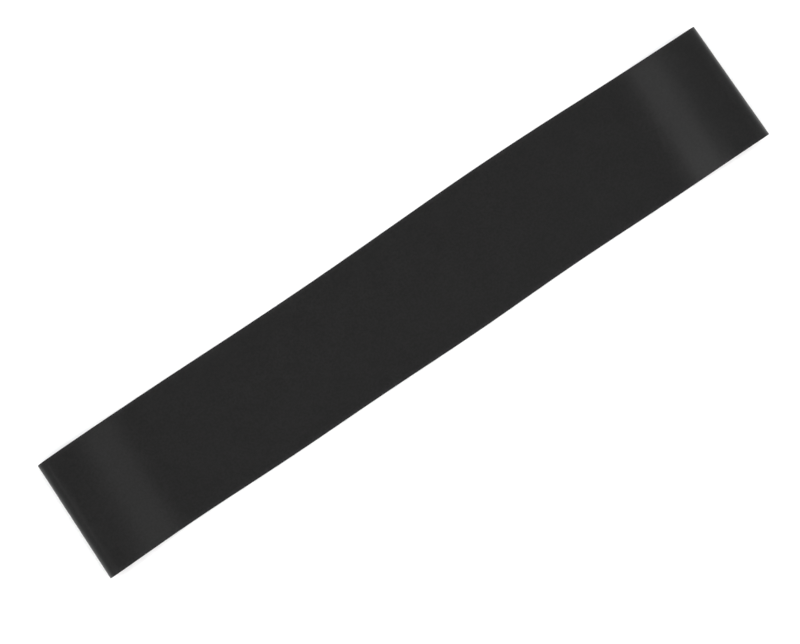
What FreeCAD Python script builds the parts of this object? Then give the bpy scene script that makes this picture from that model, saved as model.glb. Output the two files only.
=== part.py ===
"""Stretching strap: one seamless latex loop, lying folded flat, in millimetres.

The loop is dipped as a tube and sliced into bands, so it is a single closed piece of rubber. It rests
on its lower ply with a long stretch of the upper ply lying on it. At each end the wall turns over in a
tight fold that has taken a set in the packet. The stiff rubber can't follow the lower ply there, so it
rises in a low bulb and comes down again in a long slope.

The wall is drawn as a path round the middle of its thickness: straight runs joined by tangent arcs.
Each node is a length of that one wall, cut square across: two folds, the upper ply, and three lengths
of the lower ply, whose outer two slope up when the loop is pulled open.
+X runs along the strap, +Y across its width and +Z up. The origin is under the strap's middle.
"""

import math
import os

import FreeCAD
import Part

# The rubber.
BAND_WIDTH = 50.0
WALL_THICKNESS = 1.1
CIRCUMFERENCE = 600.0  # round the middle of the wall
PLY_GAP = 0.3  # air and talc between the plies where they lie together

# The fold, from the lower ply round to the upper one. Radii are to the middle of the wall.
LIFT_RADIUS = 14.0  # the lower ply leaves the ground
LIFT_TURN = 15.0
NOSE_RADIUS = 3.85  # the tight fold itself
NOSE_TURN = 158.0
SHOULDER_RADIUS = 12.0  # over the top of the bulb
SHOULDER_TURN = 10.0
CREST_RADIUS = 67.0  # the bulb's back, where the wall starts down
SLOPE_ANGLE = 16.0  # the steepest part of the way down
SLOPE_LENGTH = 8.0

# Where the wall is divided.
FOLD_TAIL = 5.0  # how much of each flat ply a fold keeps
MIDDLE_LENGTH = 80.0  # the length of the lower ply that stays on the ground

ABOUT_Z = FreeCAD.Vector(0, 0, 1)
ORIGIN = FreeCAD.Vector(0, 0, 0)


class Run:
    """A straight stretch or an arc of the wall's path. A right-hand arc has a negative radius."""

    def __init__(self, x, z, heading, length=0.0, radius=0.0, turn=0.0):
        self.x, self.z, self.heading = x, z, heading
        self.radius, self.turn = radius, turn
        self.length = abs(radius * turn) if turn else length

    def at(self, share):
        """The point and the heading this far along, from 0 to 1."""
        heading = self.heading + share * self.turn
        if self.turn:
            x = self.x + self.radius * (math.sin(heading) - math.sin(self.heading))
            z = self.z + self.radius * (math.cos(self.heading) - math.cos(heading))
        else:
            x = self.x + share * self.length * math.cos(heading)
            z = self.z + share * self.length * math.sin(heading)
        return x, z, heading

    def edge(self, outward):
        """This stretch's edge, moved this far towards the outside of the loop."""
        points = [self.point(share, outward) for share in (0.0, 0.5, 1.0)]
        if self.turn:
            return Part.Arc(*points).toShape()
        return Part.LineSegment(points[0], points[2]).toShape()

    def point(self, share, outward):
        """A point of the wall beside the path."""
        x, z, heading = self.at(share)
        return FreeCAD.Vector(
            x + outward * math.sin(heading), 0, z - outward * math.cos(heading)
        )


def toe_radius():
    """The radius that brings the slope down level with the upper ply."""
    slope = math.radians(SLOPE_ANGLE)
    nose_end = math.radians(LIFT_TURN + NOSE_TURN)
    shoulder_end = math.radians(LIFT_TURN + NOSE_TURN + SHOULDER_TURN)
    rise = (
        LIFT_RADIUS * (1 - math.cos(math.radians(LIFT_TURN)))
        + NOSE_RADIUS * (math.cos(math.radians(LIFT_TURN)) - math.cos(nose_end))
        + SHOULDER_RADIUS * (math.cos(nose_end) - math.cos(shoulder_end))
        + CREST_RADIUS * (math.cos(shoulder_end) + math.cos(slope))
    )
    left = rise - (WALL_THICKNESS + PLY_GAP) - SLOPE_LENGTH * math.sin(slope)
    return left / (1 - math.cos(slope))


def fold_steps():
    """The curved part of the path: each arc's radius and turn, and the slope's length."""
    turned = LIFT_TURN + NOSE_TURN + SHOULDER_TURN
    arcs = [
        (LIFT_RADIUS, LIFT_TURN),
        (NOSE_RADIUS, NOSE_TURN),
        (SHOULDER_RADIUS, SHOULDER_TURN),
        (CREST_RADIUS, 180.0 + SLOPE_ANGLE - turned),
    ]
    steps = [{"radius": r, "turn": math.radians(a)} for r, a in arcs]
    steps.append({"length": SLOPE_LENGTH})
    steps.append({"radius": -toe_radius(), "turn": -math.radians(SLOPE_ANGLE)})
    return steps


def lay(steps, x, z, heading):
    """The runs that follow one another from a place and heading."""
    runs = []
    for step in steps:
        runs.append(Run(x, z, heading, **step))
        x, z, heading = runs[-1].at(1.0)
    return runs


def flat_halves():
    """Half the flat length of the lower ply and of the upper one, from the circumference."""
    curved = lay(fold_steps(), 0.0, 0.0, 0.0)
    back = -curved[-1].at(1.0)[0]
    both = CIRCUMFERENCE / 2 - sum(run.length for run in curved)
    return (both + back) / 2, (both - back) / 2


def fold_path():
    """The right-hand fold's path, from its tail on the lower ply round to its tail on the upper one."""
    start = flat_halves()[0] - FOLD_TAIL
    tail = {"length": FOLD_TAIL}
    return lay([tail, *fold_steps(), tail], start, WALL_THICKNESS / 2, 0.0)


def across(face):
    """A section drawn in the XZ plane, made as wide as the band."""
    face.translate(FreeCAD.Vector(0, -BAND_WIDTH / 2, 0))
    return face.extrude(FreeCAD.Vector(0, BAND_WIDTH, 0))


def right_fold():
    """The fold at the +X end."""
    path = fold_path()
    half = WALL_THICKNESS / 2
    outer = [run.edge(half) for run in path]
    inner = [run.edge(-half) for run in path]
    ends = [
        Part.LineSegment(run.point(share, half), run.point(share, -half)).toShape()
        for run, share in ((path[0], 0.0), (path[-1], 1.0))
    ]
    wire = Part.Wire(Part.__sortEdges__(outer + inner + ends))
    return across(Part.Face(wire))


def left_fold():
    """The fold at the -X end, the same one turned round."""
    return right_fold().rotate(ORIGIN, ABOUT_Z, 180)


def flat_wall(start, end, bottom):
    """A flat length of the wall between two places along the strap."""
    corner = FreeCAD.Vector(start, -BAND_WIDTH / 2, bottom)
    return Part.makeBox(end - start, BAND_WIDTH, WALL_THICKNESS, corner)


def upper_ply():
    """The flat length between the folds that lies on top."""
    end = flat_halves()[1] - FOLD_TAIL
    return flat_wall(-end, end, WALL_THICKNESS + PLY_GAP)


def lower_middle():
    """The length of the lower ply that stays on the ground when the loop is pulled open."""
    return flat_wall(-MIDDLE_LENGTH / 2, MIDDLE_LENGTH / 2, 0.0)


def lower_right():
    """The length of the lower ply between its middle and the +X fold."""
    return flat_wall(MIDDLE_LENGTH / 2, flat_halves()[0] - FOLD_TAIL, 0.0)


def lower_left():
    """The length of the lower ply between its middle and the -X fold."""
    return lower_right().rotate(ORIGIN, ABOUT_Z, 180)


def main():
    """Writes each node's solid, and prints the sizes that the model comes to."""
    nodes = {
        "left_fold": left_fold(),
        "right_fold": right_fold(),
        "upper_ply": upper_ply(),
        "lower_left": lower_left(),
        "lower_middle": lower_middle(),
        "lower_right": lower_right(),
    }
    os.makedirs("parts", exist_ok=True)
    for name, shape in nodes.items():
        shape.exportStep(f"parts/{name}.step")
        box = shape.BoundBox
        print(
            f"{name}: X {box.XMin:.2f} to {box.XMax:.2f}, Z {box.ZMin:.2f} to {box.ZMax:.2f},"
            f" {shape.Volume:.1f} mm3, valid {shape.isValid()}"
        )
    wall = CIRCUMFERENCE * BAND_WIDTH * WALL_THICKNESS
    made = sum(shape.Volume for shape in nodes.values())
    print(f"toe radius {toe_radius():.1f}, rubber {made:.0f} mm3, and {wall:.0f} as a tube")


main()
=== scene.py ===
"""Stretching strap: a seamless loop of black rubber latex, lying folded flat on a pale floor.

The strap is one wall of rubber, so it is skinned as one wall. It has four skins only because each of them
crosses a single joint: the upper one holds both folds and the whole of what shows from above, and the other
three are lengths of the lower ply. Their ends lie under the strap and meet edge to edge, but for a hairline
between the two whose bodies have no joint between them.
Lengths are in metres and angles in degrees.
"""

import logging
import math
from dataclasses import dataclass, field
from enum import Enum

import bpy
from mathutils import Matrix, Vector


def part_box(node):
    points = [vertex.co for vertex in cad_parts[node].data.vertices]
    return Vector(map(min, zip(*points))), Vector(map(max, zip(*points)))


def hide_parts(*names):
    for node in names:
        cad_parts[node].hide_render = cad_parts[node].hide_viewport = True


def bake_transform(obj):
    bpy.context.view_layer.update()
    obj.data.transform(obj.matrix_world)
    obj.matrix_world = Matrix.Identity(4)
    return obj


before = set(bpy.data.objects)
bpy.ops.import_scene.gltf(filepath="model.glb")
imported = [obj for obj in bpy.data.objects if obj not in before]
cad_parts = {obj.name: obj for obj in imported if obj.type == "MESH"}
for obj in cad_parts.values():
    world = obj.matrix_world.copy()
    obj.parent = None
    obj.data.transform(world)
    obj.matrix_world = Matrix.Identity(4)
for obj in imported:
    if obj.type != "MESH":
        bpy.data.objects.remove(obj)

LOG = logging.getLogger("stretching_strap")
MM = 0.001

Socket = bpy.types.NodeSocket
Term = Socket | float
Colour = tuple[float, float, float, float]
Pair = tuple[float, float]


class Skin(Enum):
    """The lengths of the wall that are skinned separately."""

    UPPER = "band_upper"
    LOWER_LEFT = "band_lower_left"
    LOWER_MIDDLE = "band_lower_middle"
    LOWER_RIGHT = "band_lower_right"


class Feature(Enum):
    """What a skin's points know about themselves, for its sweep or its finish."""

    PLUS_EDGE = "plus_edge"
    MINUS_EDGE = "minus_edge"
    LEAN = "lean"
    LIFT = "lift"
    CUT_EDGE = "cut_edge"
    INSIDE = "inside"


SWEEP_FEATURES = (Feature.PLUS_EDGE, Feature.MINUS_EDGE, Feature.LEAN, Feature.LIFT)


class NodeMaker:
    """Adds nodes to one tree and joins them as it goes."""

    def __init__(self, tree: bpy.types.NodeTree) -> None:
        """Starts on an empty tree."""
        self.tree = tree

    def put(self, kind: str, feeds: dict | None = None, **settings: object) -> bpy.types.Node:
        """Adds a node.

        Args:
            kind: the node's type.
            feeds: what goes into its inputs, by name or number: another node's output or a plain value.
            settings: the node's own properties.

        Returns:
            The new node.
        """
        node = self.tree.nodes.new(kind)
        for name, value in settings.items():
            setattr(node, name, value)
        for name, value in (feeds or {}).items():
            socket = node.inputs[name]
            if isinstance(value, Socket):
                self.tree.links.new(value, socket)
            else:
                socket.default_value = value
        return node

    def calc(self, operation: str, *terms: Term) -> Socket:
        """The result of a Math node on one, two or three terms."""
        return self.put("ShaderNodeMath", dict(enumerate(terms)), operation=operation).outputs[0]

    def ramp(self, value: Socket, low: Term, high: Term, start: Term = 0.0, end: Term = 1.0) -> Socket:
        """A smooth step from start to end, taken as the value goes from low to high."""
        feeds = {"Value": value, "From Min": low, "From Max": high, "To Min": start, "To Max": end}
        return self.put("ShaderNodeMapRange", feeds, interpolation_type="SMOOTHSTEP").outputs[0]


@dataclass(frozen=True)
class LatexFinish:
    """Black rubber latex: satin, with a fine grain, faint dipping lines, paler cut edges (worn, with a
    painted highlight) and talc inside.
    """

    deep: Colour = (0.0067, 0.0067, 0.0067, 1.0)
    pale: Colour = (0.0108, 0.0108, 0.0108, 1.0)
    # The paler cut edges' colour: worn rubber, and a painted highlight along the edges.
    edge_wear_and_highlight: Colour = (0.032, 0.032, 0.033, 1.0)
    talc: Colour = (0.034, 0.034, 0.035, 1.0)
    roughness: float = 0.37
    specular: float = 0.20
    # A noise's effect grows from none to all between these values of it.
    noise_range: Pair = (0.30, 0.70)
    # The mottle: slow, faint patches in the shade and the gloss.
    mottle_size: float = 14 * MM
    mottle_detail: float = 4.0
    mottle_shade: Pair = (0.07, 0.18)
    mottle_rough: Pair = (-0.005, 0.005)
    # The grain: the fine texture of the dipped surface.
    grain_size: float = 0.9 * MM
    grain_detail: float = 3.0
    grain_shade: float = 0.75
    grain_rough: Pair = (-0.03, 0.03)
    # The dipping lines: faint ridges that run across the strap, lying on the grain.
    line_spacing: float = 1.6 * MM
    line_detail: float = 2.0
    line_stretch: float = 0.03
    line_share: float = 0.6
    relief_height: float = 0.025 * MM
    relief_strength: float = 0.8
    # The cut edges' paler band, partly wear and partly a painted highlight, and the talc inside the loop.
    wear_and_highlight_share: Pair = (0.35, 1.0)
    edge_band_rough: float = 0.18
    talc_range: Pair = (0.36, 0.70)
    talc_share: Pair = (0.08, 0.50)
    talc_rough: float = 0.20

    def material(self) -> bpy.types.Material:
        """The finish as a material.

        Returns:
            The material.
        """
        made = bpy.data.materials.new("black_latex")
        made.use_nodes = True
        made.node_tree.nodes.clear()
        maker = NodeMaker(made.node_tree)
        place = maker.put("ShaderNodeTexCoord").outputs["Object"]
        mottle = self._noise(maker, place, self.mottle_size, self.mottle_detail)
        grain = self._noise(maker, place, self.grain_size, self.grain_detail)
        stretched = {"Vector": place, "Scale": (1.0, self.line_stretch, 1.0)}
        across = maker.put("ShaderNodeMapping", stretched).outputs[0]
        lines = self._noise(maker, across, self.line_spacing, self.line_detail)
        edge = maker.put("ShaderNodeAttribute", attribute_name=Feature.CUT_EDGE.value).outputs["Fac"]
        inside = maker.put("ShaderNodeAttribute", attribute_name=Feature.INSIDE.value).outputs["Fac"]

        # The paler cut edges: worn rubber, and a painted highlight along them.
        edge_wear_and_highlight = maker.calc("MULTIPLY", edge, maker.ramp(grain, *self.noise_range, *self.wear_and_highlight_share))
        dusted = maker.calc("MULTIPLY", inside, maker.ramp(mottle, *self.talc_range, *self.talc_share))
        patches = maker.ramp(mottle, *self.noise_range, *self.mottle_shade)
        shade = maker.calc("MULTIPLY_ADD", maker.ramp(grain, *self.noise_range), self.grain_shade, patches)
        body = self._mix(maker, shade, self.deep, self.pale)
        body = self._mix(maker, dusted, body, self.talc)
        colour = self._mix(maker, edge_wear_and_highlight, body, self.edge_wear_and_highlight)

        rough = maker.calc("ADD", self.roughness, maker.ramp(mottle, *self.noise_range, *self.mottle_rough))
        rough = maker.calc("ADD", rough, maker.ramp(grain, *self.noise_range, *self.grain_rough))
        rough = maker.calc("ADD", rough, maker.calc("MULTIPLY", edge_wear_and_highlight, self.edge_band_rough))
        rough = maker.calc("ADD", rough, maker.calc("MULTIPLY", dusted, self.talc_rough))
        relief = maker.calc("ADD", grain, maker.calc("MULTIPLY", lines, self.line_share))
        bump = {"Height": relief, "Distance": self.relief_height, "Strength": self.relief_strength}
        normal = maker.put("ShaderNodeBump", bump).outputs[0]
        feeds = {
            "Base Color": colour,
            "Roughness": rough,
            "Specular IOR Level": self.specular,
            "Normal": normal,
        }
        surface = maker.put("ShaderNodeBsdfPrincipled", feeds)
        maker.put("ShaderNodeOutputMaterial", {"Surface": surface.outputs[0]})
        return made

    def _noise(self, maker: NodeMaker, place: Socket, size: float, detail: float) -> Socket:
        """A noise whose features are about this size, with this many finer layers over them."""
        feeds = {"Vector": place, "Scale": 1.0 / size, "Detail": detail, "Roughness": 0.5}
        return maker.put("ShaderNodeTexNoise", feeds).outputs["Fac"]

    def _mix(self, maker: NodeMaker, share: Socket, first: Socket | Colour, second: Colour) -> Socket:
        """Two colours mixed, with this share of the second one."""
        node = maker.put("ShaderNodeMix", {0: share, 6: first, 7: second}, data_type="RGBA")
        return node.outputs[2]


@dataclass(frozen=True)
class PaperFinish:
    """The floor's matt white paper, with a faint tooth."""

    colour: Colour = (0.90, 0.90, 0.90, 1.0)
    roughness: float = 0.95
    tooth_size: float = 1.2 * MM
    tooth_height: float = 0.01 * MM
    tooth_strength: float = 0.3

    def material(self) -> bpy.types.Material:
        """The finish as a material.

        Returns:
            The material.
        """
        made = bpy.data.materials.new("white_paper")
        made.use_nodes = True
        made.node_tree.nodes.clear()
        maker = NodeMaker(made.node_tree)
        place = maker.put("ShaderNodeTexCoord").outputs["Object"]
        tooth = maker.put("ShaderNodeTexNoise", {"Vector": place, "Scale": 1.0 / self.tooth_size})
        bump = {
            "Height": tooth.outputs["Fac"],
            "Distance": self.tooth_height,
            "Strength": self.tooth_strength,
        }
        normal = maker.put("ShaderNodeBump", bump).outputs[0]
        feeds = {"Base Color": self.colour, "Roughness": self.roughness, "Normal": normal}
        surface = maker.put("ShaderNodeBsdfPrincipled", feeds)
        maker.put("ShaderNodeOutputMaterial", {"Surface": surface.outputs[0]})
        return made


@dataclass(frozen=True)
class EdgeWave:
    """One slow wave in a cut edge, left by the slicing. Its lag is in radians."""

    height: float
    length: float
    lag: float

    def at(self, x: float) -> float:
        """The edge's shift at a place along the strap."""
        return self.height * math.sin(2 * math.pi * x / self.length + self.lag)


@dataclass(frozen=True)
class Station:
    """A point of the wall's path."""

    x: float
    z: float


@dataclass
class Pen:
    """Draws the wall's path in the XZ plane from where it stands, with straight runs and tangent arcs.

    Its heading is in radians. No step is longer than max_step, or turns further than max_turn.
    """

    x: float
    z: float
    heading: float = 0.0
    max_step: float = 2 * MM
    max_turn: float = 4.0
    drawn: list[Station] = field(default_factory=list)

    def __post_init__(self) -> None:
        """Marks the starting point."""
        self.drawn.append(Station(self.x, self.z))

    def straight(self, length: float) -> None:
        """Goes straight on.

        Args:
            length: how far.
        """
        steps = max(1, math.ceil(length / self.max_step))
        for _ in range(steps):
            self.x += length / steps * math.cos(self.heading)
            self.z += length / steps * math.sin(self.heading)
            self.drawn.append(Station(self.x, self.z))

    def arc(self, radius: float, turn: float) -> None:
        """Turns along an arc.

        Args:
            radius: to the path.
            turn: how far, positive to the left.
        """
        length = radius * math.radians(abs(turn))
        steps = max(math.ceil(abs(turn) / self.max_turn), math.ceil(length / self.max_step))
        side = math.copysign(1.0, turn)
        for _ in range(steps):
            after = self.heading + math.radians(turn) / steps
            self.x += side * radius * (math.sin(after) - math.sin(self.heading))
            self.z += side * radius * (math.cos(self.heading) - math.cos(after))
            self.heading = after
            self.drawn.append(Station(self.x, self.z))


@dataclass
class FoldShape:
    """The fold at the +X end. Radii are to the middle of the wall."""

    lift_radius: float = 14.0 * MM
    lift_turn: float = 15.0
    nose_radius: float = 3.85 * MM
    nose_turn: float = 158.0
    shoulder_radius: float = 12.0 * MM
    shoulder_turn: float = 10.0
    crest_radius: float = 67.0 * MM
    slope_angle: float = 16.0
    slope_length: float = 8.0 * MM

    def path(self, start: float, end: float, lower: float, upper: float, half_length: float) -> list[Station]:
        """The path from the lower ply's cut round to the upper ply's.

        Args:
            start: the lower cut's X.
            end: the upper cut's X.
            lower: the height of the lower ply's middle.
            upper: the height of the upper ply's middle.
            half_length: the strap's end, to the middle of the wall.

        Returns:
            The path's points.
        """
        reach = self.lift_radius * math.sin(math.radians(self.lift_turn))
        reach += self.nose_radius * (1 - math.sin(math.radians(self.lift_turn)))
        pen = Pen(start, lower)
        pen.straight(half_length - reach - start)
        pen.arc(self.lift_radius, self.lift_turn)
        pen.arc(self.nose_radius, self.nose_turn)
        pen.arc(self.shoulder_radius, self.shoulder_turn)
        turned = self.lift_turn + self.nose_turn + self.shoulder_turn
        pen.arc(self.crest_radius, 180.0 + self.slope_angle - turned)
        pen.straight(self.slope_length)
        toe = (pen.z - upper) / (1 - math.cos(math.radians(self.slope_angle)))
        pen.arc(toe, -self.slope_angle)
        pen.straight(pen.x - end)
        return pen.drawn


@dataclass
class StrapWall:
    """The strap's one wall: its sizes, its path and the skins on it.

    The half length is to the middle of the wall. The middles are the two plies' heights, and the cuts are
    the places along the strap where one skin ends and the next begins.
    """

    width: float
    thickness: float
    half_length: float
    lower_middle: float
    upper_middle: float
    lower_cut: float
    upper_cut: float
    ground_cut: float
    finish: LatexFinish = field(default_factory=LatexFinish)
    fold: FoldShape = field(default_factory=FoldShape)
    # The section, and how finely the wall is divided.
    corner_radius: float = 0.16 * MM
    corner_steps: int = 3
    across_steps: int = 32
    step: float = 2 * MM
    crease_angle: float = 50.0
    # How far the paler band at a cut edge, wear and painted highlight, reaches in from it.
    edge_band_width: float = 0.25 * MM
    # The +Y edge is this share shorter than the middle, and the -Y edge as much longer.
    taper: float = 0.0029
    unevenness: float = 0.03 * MM
    unevenness_size: float = 35 * MM
    plus_waves: tuple[EdgeWave, ...] = (
        EdgeWave(0.50 * MM, 400 * MM, 1.28),
        EdgeWave(0.56 * MM, 176 * MM, -0.53),
    )
    plus_shift: float = -0.12 * MM
    minus_waves: tuple[EdgeWave, ...] = (
        EdgeWave(0.21 * MM, 190 * MM, -1.07),
        EdgeWave(0.16 * MM, 85 * MM, -2.85),
    )
    minus_shift: float = -0.16 * MM
    # The bulbs' tops lean along the strap, from none to all between these distances from its end.
    lean: float = 1.0 * MM
    lean_from: float = 6 * MM
    lean_to: float = 16 * MM
    # The bulbs stand higher towards the -Y edge, by this share of their height there.
    lift: float = 0.14
    lift_power: float = 1.5
    # Half the hairline between the two skins whose bodies have no joint between them.
    seam: float = 0.01 * MM
    skins: dict[Skin, bpy.types.Object] = field(default_factory=dict)

    @classmethod
    def from_frame(cls) -> "StrapWall":
        """The wall as the frame has it.

        Returns:
            The wall, with no skins yet.
        """
        fold_low, fold_high = (Vector(corner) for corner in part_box("right_fold"))
        ground_low, ground_high = (Vector(corner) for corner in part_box("lower_middle"))
        top_low, top_high = (Vector(corner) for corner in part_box("upper_ply"))
        cut_high = Vector(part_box("lower_right")[1])
        thickness = ground_high.z - ground_low.z
        return cls(
            width=fold_high.y - fold_low.y,
            thickness=thickness,
            half_length=fold_high.x - thickness / 2,
            lower_middle=(ground_low.z + ground_high.z) / 2,
            upper_middle=(top_low.z + top_high.z) / 2,
            lower_cut=cut_high.x,
            upper_cut=top_high.x,
            ground_cut=ground_high.x,
        )

    def build(self) -> None:
        """Makes all the skins, and hides the frame's parts that they stand in for."""
        sweep = self._sweep_tree(self.finish.material())
        for skin in Skin:
            made = self._swept(skin, sweep)
            self.skins[skin] = made
            LOG.info("%s: %d faces", skin.value, len(made.data.polygons))
        self._tie()

    def _tie(self) -> None:
        """Bakes each skin's place into its mesh and hides the frame's parts that it stands in for."""
        skin = self.skins[Skin.UPPER]
        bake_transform(skin)
        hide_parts("left_fold", "upper_ply", "right_fold")
        skin = self.skins[Skin.LOWER_LEFT]
        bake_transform(skin)
        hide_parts("lower_left")
        skin = self.skins[Skin.LOWER_MIDDLE]
        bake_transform(skin)
        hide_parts("lower_middle")
        skin = self.skins[Skin.LOWER_RIGHT]
        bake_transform(skin)
        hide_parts("lower_right")

    def _path(self, skin: Skin) -> list[Station]:
        """The path that a skin follows, with the outside of the loop on its right.

        Args:
            skin: which length of the wall.

        Returns:
            The path's points.
        """
        if skin is Skin.UPPER:
            right = self.fold.path(
                self.lower_cut, self.upper_cut, self.lower_middle, self.upper_middle, self.half_length
            )
            left = [Station(-point.x, point.z) for point in reversed(right)]
            return right + self._level(self.upper_cut, -self.upper_cut, self.upper_middle)[1:-1] + left
        ends = {
            Skin.LOWER_LEFT: (-self.lower_cut, -self.ground_cut - self.seam),
            Skin.LOWER_MIDDLE: (-self.ground_cut + self.seam, self.ground_cut),
            Skin.LOWER_RIGHT: (self.ground_cut, self.lower_cut),
        }
        return self._level(*ends[skin], self.lower_middle)

    def _level(self, start: float, end: float, height: float) -> list[Station]:
        """A flat length of the path between two places along the strap."""
        steps = math.ceil(abs(end - start) / self.step)
        return [Station(start + (end - start) * k / steps, height) for k in range(steps + 1)]

    def _rail(self, skin: Skin) -> bpy.types.Object:
        """The path as a line of edges, with the wall's small departures at each point.

        Args:
            skin: which length of the wall.

        Returns:
            The line's object.
        """
        path = self._path(skin)
        mesh = bpy.data.meshes.new(skin.value)
        edges = [(k, k + 1) for k in range(len(path) - 1)]
        mesh.from_pydata([(point.x, 0.0, point.z) for point in path], edges, [])
        values = {
            Feature.PLUS_EDGE: [
                self.plus_shift + sum(wave.at(point.x) for wave in self.plus_waves) for point in path
            ],
            Feature.MINUS_EDGE: [
                self.minus_shift + sum(wave.at(point.x) for wave in self.minus_waves) for point in path
            ],
            Feature.LEAN: [self._leaning(point) for point in path],
            Feature.LIFT: [self.lift * max(0.0, point.z - self.upper_middle) for point in path],
        }
        for name, numbers in values.items():
            mesh.attributes.new(name.value, "FLOAT", "POINT").data.foreach_set("value", numbers)
        line = bpy.data.objects.new(skin.value + "_rail", mesh)
        bpy.context.scene.collection.objects.link(line)
        return line

    def _leaning(self, point: Station) -> float:
        """How far a point of the path leans along the strap, at the wall's edges.

        Args:
            point: a point of the path.

        Returns:
            The lean at the +Y edge. It is the opposite at the other one.
        """
        share = (self.half_length - abs(point.x) - self.lean_from) / (self.lean_to - self.lean_from)
        share = min(1.0, max(0.0, share)) if point.z > self.upper_middle else 0.0
        return self.lean * share * share * (3 - 2 * share)

    def _sizes(self) -> dict[tuple[str, str], float]:
        """The sweep's inputs, each with its kind, and this wall's value for it.

        Returns:
            The values by name and kind.
        """
        number, count = "NodeSocketFloat", "NodeSocketInt"
        return {
            ("Width", number): self.width,
            ("Thickness", number): self.thickness,
            ("Corner radius", number): self.corner_radius,
            ("Corner steps", count): self.corner_steps,
            ("Across steps", count): self.across_steps,
            ("Wear width", number): self.edge_band_width,
            ("Taper", number): self.taper,
            ("Lift power", number): self.lift_power,
            ("Unevenness", number): self.unevenness,
            ("Unevenness size", number): self.unevenness_size,
        }

    def _sweep_tree(self, material: bpy.types.Material) -> bpy.types.NodeTree:
        """The tree that sweeps the wall's section along a rail and gives the wall its small departures.

        Args:
            material: the wall's finish.

        Returns:
            The node tree.
        """
        tree = bpy.data.node_groups.new("wall_sweep", "GeometryNodeTree")
        tree.interface.new_socket("Rail", in_out="INPUT", socket_type="NodeSocketGeometry")
        for name, kind in self._sizes():
            tree.interface.new_socket(name, in_out="INPUT", socket_type=kind)
        tree.interface.new_socket("Wall", in_out="OUTPUT", socket_type="NodeSocketGeometry")
        maker = NodeMaker(tree)
        sizes = maker.put("NodeGroupInput").outputs
        spot = maker.put("GeometryNodeInputPosition").outputs[0]
        place = maker.put("ShaderNodeSeparateXYZ", {0: spot}).outputs

        outward = maker.put("GeometryNodeCaptureAttribute", {"Geometry": self._section(maker, sizes)})
        outward.capture_items.new("FLOAT", "Outward")
        tree.links.new(place["Y"], outward.inputs["Outward"])
        rail = maker.put("GeometryNodeMeshToCurve", {"Mesh": sizes["Rail"]}).outputs[0]
        swept = maker.put(
            "GeometryNodeCurveToMesh",
            {"Curve": rail, "Profile Curve": outward.outputs["Geometry"], "Fill Caps": True},
        ).outputs[0]

        half = maker.calc("MULTIPLY", sizes["Width"], 0.5)
        rim = maker.calc("SUBTRACT", half, maker.calc("ABSOLUTE", place["Y"]))
        # The share of the paler cut-edge band, wear and painted highlight, at each point.
        cut = maker.ramp(rim, 0.0, sizes["Wear width"], 1.0, 0.0)
        inner = maker.calc("LESS_THAN", outward.outputs["Outward"], 0.0)
        swept = self._keep(maker, swept, Feature.CUT_EDGE, cut)
        swept = self._keep(maker, swept, Feature.INSIDE, inner)

        shift = self._departures(maker, sizes, spot, maker.calc("DIVIDE", place["Y"], half))
        moved = maker.put("GeometryNodeSetPosition", {"Geometry": swept, "Offset": shift}).outputs[0]
        real = maker.put("GeometryNodeRealizeInstances", {"Geometry": moved}).outputs[0]
        dressed = maker.put("GeometryNodeSetMaterial", {"Geometry": real, "Material": material}).outputs[0]
        maker.put("NodeGroupOutput", {0: dressed})
        return tree

    def _section(self, maker: NodeMaker, sizes: bpy.types.NodeOutputs) -> Socket:
        """The wall's cross-section in the sweep: a rectangle with rounded corners and stepped long sides.

        Args:
            maker: the sweep's node maker.
            sizes: the sweep's inputs.

        Returns:
            The section's curve.
        """
        box = maker.put(
            "GeometryNodeCurvePrimitiveQuadrilateral",
            {"Width": sizes["Width"], "Height": sizes["Thickness"]},
        )
        rounded = maker.put(
            "GeometryNodeFilletCurve",
            {"Curve": box.outputs[0], "Radius": sizes["Corner radius"], "Count": sizes["Corner steps"]},
            mode="POLY",
        )
        spot = maker.put("GeometryNodeInputPosition").outputs[0]
        after = maker.calc("ADD", maker.put("GeometryNodeInputIndex").outputs[0], 1)
        beyond = {"Index": after, "Value": spot}
        beyond = maker.put("GeometryNodeFieldAtIndex", beyond, data_type="FLOAT_VECTOR").outputs[0]
        gap = maker.put("ShaderNodeVectorMath", {0: spot, 1: beyond}, operation="DISTANCE").outputs["Value"]
        long_side = maker.calc("GREATER_THAN", gap, maker.calc("MULTIPLY", sizes["Width"], 0.5))
        cuts = maker.calc("MULTIPLY", long_side, maker.calc("SUBTRACT", sizes["Across steps"], 1))
        return maker.put("GeometryNodeSubdivideCurve", {"Curve": rounded.outputs[0], "Cuts": cuts}).outputs[0]

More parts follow.
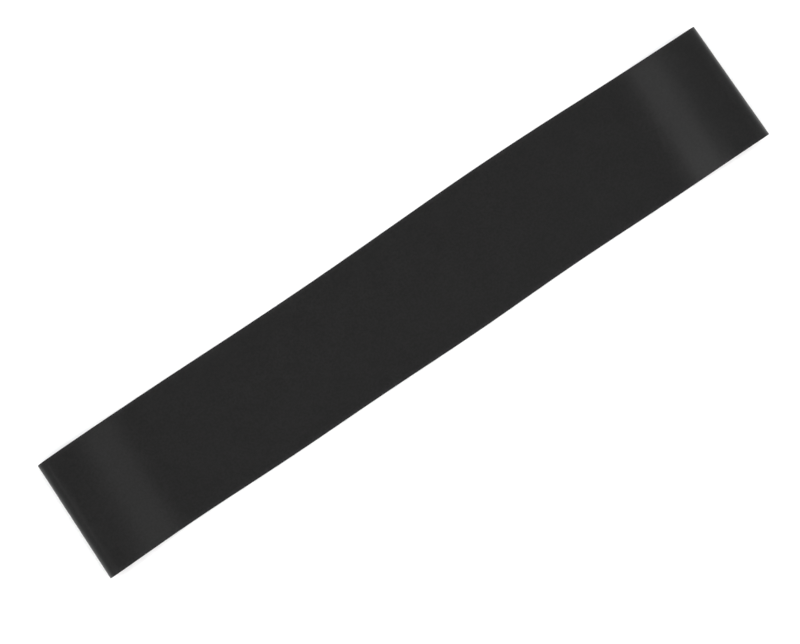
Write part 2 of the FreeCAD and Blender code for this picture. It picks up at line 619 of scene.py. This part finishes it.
    def _departures(
        self, maker: NodeMaker, sizes: bpy.types.NodeOutputs, spot: Socket, across: Socket
    ) -> Socket:
        """How far each point of the wall stands from the drawn shape.

        Args:
            maker: the sweep's node maker.
            sizes: the sweep's inputs.
            spot: the point's place.
            across: its place across the strap, from -1 at one edge to 1 at the other.

        Returns:
            The point's shift.
        """
        plus, minus, lean, lift = (
            maker.put("GeometryNodeInputNamedAttribute", {"Name": name.value}).outputs[0]
            for name in SWEEP_FEATURES
        )
        share = maker.calc("MULTIPLY_ADD", across, 0.5, 0.5)
        wander = maker.calc("MULTIPLY_ADD", maker.calc("SUBTRACT", plus, minus), share, minus)
        along = maker.put("ShaderNodeSeparateXYZ", {0: spot}).outputs["X"]
        slant = maker.calc("MULTIPLY", maker.calc("MULTIPLY", along, across), sizes["Taper"])
        slip = maker.calc("SUBTRACT", maker.calc("MULTIPLY", lean, across), slant)
        near = maker.calc("MAXIMUM", maker.calc("MULTIPLY", across, -1.0), 0.0)
        near = maker.calc("POWER", near, sizes["Lift power"])
        patch = {"Vector": spot, "Scale": maker.calc("DIVIDE", 1.0, sizes["Unevenness size"]), "Detail": 1.0}
        noise = maker.put("ShaderNodeTexNoise", patch).outputs["Fac"]
        swell = maker.calc("MULTIPLY_ADD", lift, near, maker.calc("MULTIPLY", noise, sizes["Unevenness"]))
        return maker.put("ShaderNodeCombineXYZ", {"X": slip, "Y": wander, "Z": swell}).outputs[0]

    def _keep(self, maker: NodeMaker, geometry: Socket, name: Feature, value: Socket) -> Socket:
        """The wall with a value stored on its points."""
        feeds = {"Geometry": geometry, "Name": name.value, "Value": value}
        return maker.put("GeometryNodeStoreNamedAttribute", feeds, domain="POINT").outputs[0]

    def _swept(self, skin: Skin, sweep: bpy.types.NodeTree) -> bpy.types.Object:
        """Sweeps one skin and makes it a plain mesh.

        Args:
            skin: which length of the wall.
            sweep: the sweep's tree.

        Returns:
            The skin's object.
        """
        rail = self._rail(skin)
        modifier = rail.modifiers.new("sweep", "NODES")
        modifier.node_group = sweep
        wanted = {name: value for (name, _), value in self._sizes().items()}
        for item in sweep.interface.items_tree:
            if item.name in wanted:
                modifier[item.identifier] = wanted[item.name]
        evaluated = rail.evaluated_get(bpy.context.evaluated_depsgraph_get())
        mesh = bpy.data.meshes.new_from_object(evaluated)
        mesh.name = skin.value
        for name in SWEEP_FEATURES:
            mesh.attributes.remove(mesh.attributes[name.value])
        mesh.shade_smooth()
        mesh.set_sharp_from_angle(angle=math.radians(self.crease_angle))
        made = bpy.data.objects.new(skin.value, mesh)
        bpy.context.scene.collection.objects.link(made)
        bpy.data.objects.remove(rail)
        return made


@dataclass
class Studio:
    """The floor and the lights."""

    paper: PaperFinish = field(default_factory=PaperFinish)
    floor_half: float = 6.0
    floor_drop: float = 0.1 * MM
    # The room's light turns from the horizon's to the zenith's between these heights of its direction.
    world_turn: Pair = (0.50, 0.95)
    world_horizon: float = 0.83
    world_zenith: float = 0.09
    overhead_power: float = 85.0
    overhead_size: float = 3.0
    overhead_height: float = 2.2
    box_size: float = 0.28
    box_distance: float = 1.5
    box_elevation: float = 62.0
    box_spread: float = 24.0
    box_aim: float = 124 * MM
    left_power: float = 0.072
    right_power: float = 0.0295

    def build(self) -> None:
        """Lays the floor and hangs the lights."""
        self._floor()
        self._world()
        self._overhead()
        self._softbox("left_softbox", -1.0, self.left_power)
        self._softbox("right_softbox", 1.0, self.right_power)
        bpy.context.scene.view_settings.view_transform = "Standard"
        LOG.info("studio: floor, overhead light and two softboxes")

    def _floor(self) -> None:
        """The floor, just under the strap."""
        half, drop = self.floor_half, -self.floor_drop
        corners = [(-half, -half, drop), (half, -half, drop), (half, half, drop), (-half, half, drop)]
        mesh = bpy.data.meshes.new("floor")
        mesh.from_pydata(corners, [], [(0, 1, 2, 3)])
        mesh.materials.append(self.paper.material())
        floor = bpy.data.objects.new("floor", mesh)
        bpy.context.scene.collection.objects.link(floor)

    def _world(self) -> None:
        """The room's dim light: dark overhead and paler towards the horizon."""
        world = bpy.data.worlds.new("room")
        world.use_nodes = True
        world.node_tree.nodes.clear()
        maker = NodeMaker(world.node_tree)
        direction = maker.put("ShaderNodeTexCoord").outputs["Generated"]
        height = maker.put("ShaderNodeSeparateXYZ", {0: direction}).outputs["Z"]
        strength = maker.ramp(height, *self.world_turn, self.world_horizon, self.world_zenith)
        light = {"Color": (1.0, 1.0, 1.0, 1.0), "Strength": strength}
        background = maker.put("ShaderNodeBackground", light)
        maker.put("ShaderNodeOutputWorld", {"Surface": background.outputs[0]})
        bpy.context.scene.world = world

    def _overhead(self) -> None:
        """The wide light over the floor. It is kept out of reflections, so that the flat plies stay black."""
        lamp = self._lamp("overhead", self.overhead_power, self.overhead_size)
        lamp.location = (0.0, 0.0, self.overhead_height)
        lamp.visible_glossy = False

    def _softbox(self, name: str, side: float, power: float) -> None:
        """A softbox with a grid, in line with the strap and aimed past its middle at the far bulb.

        Args:
            name: the lamp's name.
            side: 1 at the strap's +X end and -1 at the other.
            power: in watts.
        """
        lamp = self._lamp(name, power, self.box_size)
        lamp.data.spread = math.radians(self.box_spread)
        rise = math.radians(self.box_elevation)
        lamp.location = Vector((side * math.cos(rise), 0.0, math.sin(rise))) * self.box_distance
        aim = Vector((-side * self.box_aim, 0.0, 0.0))
        lamp.rotation_euler = (lamp.location - aim).to_track_quat("Z", "Y").to_euler()

    def _lamp(self, name: str, power: float, size: float) -> bpy.types.Object:
        """A square area lamp.

        Args:
            name: its name.
            power: in watts.
            size: its side.

        Returns:
            The lamp's object.
        """
        light = bpy.data.lights.new(name, "AREA")
        light.energy = power
        light.size = size
        lamp = bpy.data.objects.new(name, light)
        bpy.context.scene.collection.objects.link(lamp)
        return lamp


@dataclass
class ViewCamera:
    """A camera that looks almost straight down, turned so that the strap runs up to the right."""

    distance: float = 1.2
    elevation: float = 87.86
    azimuth: float = -172.3
    roll: float = 33.99
    aim: tuple[float, float, float] = (-5.68 * MM, -6.20 * MM, 0.0)
    lens: float = 144.05  # in millimetres, as is the sensor
    sensor: float = 36.0
    nearest: float = 0.01

    def build(self) -> None:
        """Makes it the scene's camera."""
        turn, rise = math.radians(self.azimuth), math.radians(self.elevation)
        away = Vector((math.cos(turn) * math.cos(rise), math.sin(turn) * math.cos(rise), math.sin(rise)))
        up = Vector((math.sin(math.radians(self.roll)), math.cos(math.radians(self.roll)), 0.0))
        right = up.cross(away).normalized()
        up = away.cross(right)
        data = bpy.data.cameras.new("camera")
        data.lens = self.lens
        data.sensor_width = self.sensor
        data.clip_start = self.nearest
        camera = bpy.data.objects.new("camera", data)
        bpy.context.scene.collection.objects.link(camera)
        place = Vector(self.aim) + away * self.distance
        rows = [[right[k], up[k], away[k], place[k]] for k in range(3)]
        camera.matrix_world = Matrix([*rows, [0.0, 0.0, 0.0, 1.0]])
        bpy.context.scene.camera = camera
        LOG.info("camera: %.0f mm lens at %.2f m", self.lens, self.distance)


def main() -> None:
    """Builds the strap, the studio and the camera."""
    logging.basicConfig(level=logging.INFO, format="%(name)s: %(message)s")
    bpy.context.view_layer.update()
    StrapWall.from_frame().build()
    Studio().build()
    ViewCamera().build()
    bpy.context.view_layer.update()


if __name__ == "__main__":
    main()
